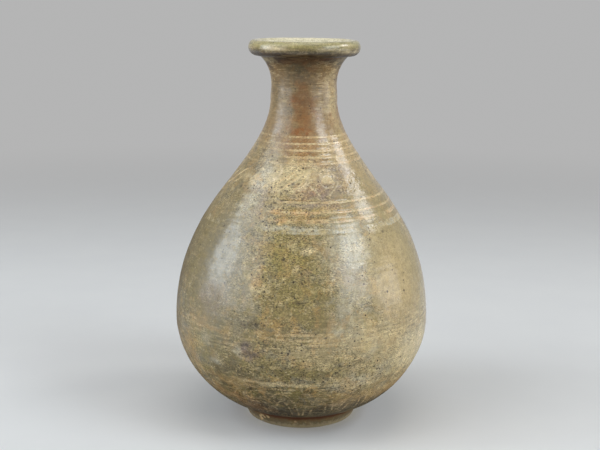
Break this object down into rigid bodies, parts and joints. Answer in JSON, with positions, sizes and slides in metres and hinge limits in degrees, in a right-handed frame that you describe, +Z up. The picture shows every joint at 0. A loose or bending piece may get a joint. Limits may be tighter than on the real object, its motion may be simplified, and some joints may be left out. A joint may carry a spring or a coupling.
{
  "type": "buncheong sake bottle",
  "caption": "Pear-shaped stoneware bottle with a rolled lip, slender neck, full belly and foot ring, inlaid with white slip lines, flowers, vines and lotus petals.",
  "frame": {"origin": "centre of the rim that the bottle stands on", "axes": "+Z up along the bottle's axis; the pictured front faces -Y, with +X to its right"},
  "size_m": [0.188, 0.188, 0.28],
  "materials": {
    "glazed_stoneware": "uneven olive-tan glaze with fine crackle, pinholes, grey and red-brown patches",
    "white_slip": "worn cream slip under the same glaze",
    "foot_clay": "trimmed clay, thinly glazed, bare and chipped at the rim"
  },
  "bodies": {
    "root": {"foot_ring": "foot_clay", "lower_body": "glazed_stoneware", "upper_body": "glazed_stoneware", "neck_and_lip": "glazed_stoneware", "neck_line_1": "white_slip", "neck_line_2": "white_slip", "neck_line_3": "white_slip", "neck_line_4": "white_slip", "neck_line_5": "white_slip", "shoulder_line_1": "white_slip", "shoulder_line_2": "white_slip", "shoulder_band_upper": "white_slip", "shoulder_band_lower": "white_slip", "belly_line_1": "white_slip", "belly_line_2": "white_slip", "lower_line_1": "white_slip", "lower_line_2": "white_slip", "flower_1": "white_slip", "flower_2": "white_slip", "flower_3": "white_slip", "flower_4": "white_slip", "flower_5": "white_slip", "flower_6": "white_slip", "vine_1": "white_slip", "vine_2": "white_slip", "vine_3": "white_slip", "vine_4": "white_slip", "vine_5": "white_slip", "vine_6": "white_slip", "leaf_above_vine_1": "white_slip", "leaf_above_vine_2": "white_slip", "leaf_above_vine_3": "white_slip", "leaf_above_vine_4": "white_slip", "leaf_above_vine_5": "white_slip", "leaf_above_vine_6": "white_slip", "leaf_below_vine_1": "white_slip", "leaf_below_vine_2": "white_slip", "leaf_below_vine_3": "white_slip", "leaf_below_vine_4": "white_slip", "leaf_below_vine_5": "white_slip", "leaf_below_vine_6": "white_slip", "lotus_petal_1": "white_slip", "lotus_petal_2": "white_slip", "lotus_petal_3": "white_slip", "lotus_petal_4": "white_slip", "lotus_petal_5": "white_slip", "lotus_petal_6": "white_slip", "lotus_petal_7": "white_slip", "lotus_petal_8": "white_slip", "lotus_petal_9": "white_slip", "lotus_petal_10": "white_slip", "lotus_petal_11": "white_slip", "lotus_petal_12": "white_slip", "lotus_petal_13": "white_slip", "lotus_petal_14": "white_slip", "lotus_petal_15": "white_slip", "lotus_petal_16": "white_slip", "lotus_petal_17": "white_slip", "lotus_petal_18": "white_slip"}
  },
  "joints": []
}
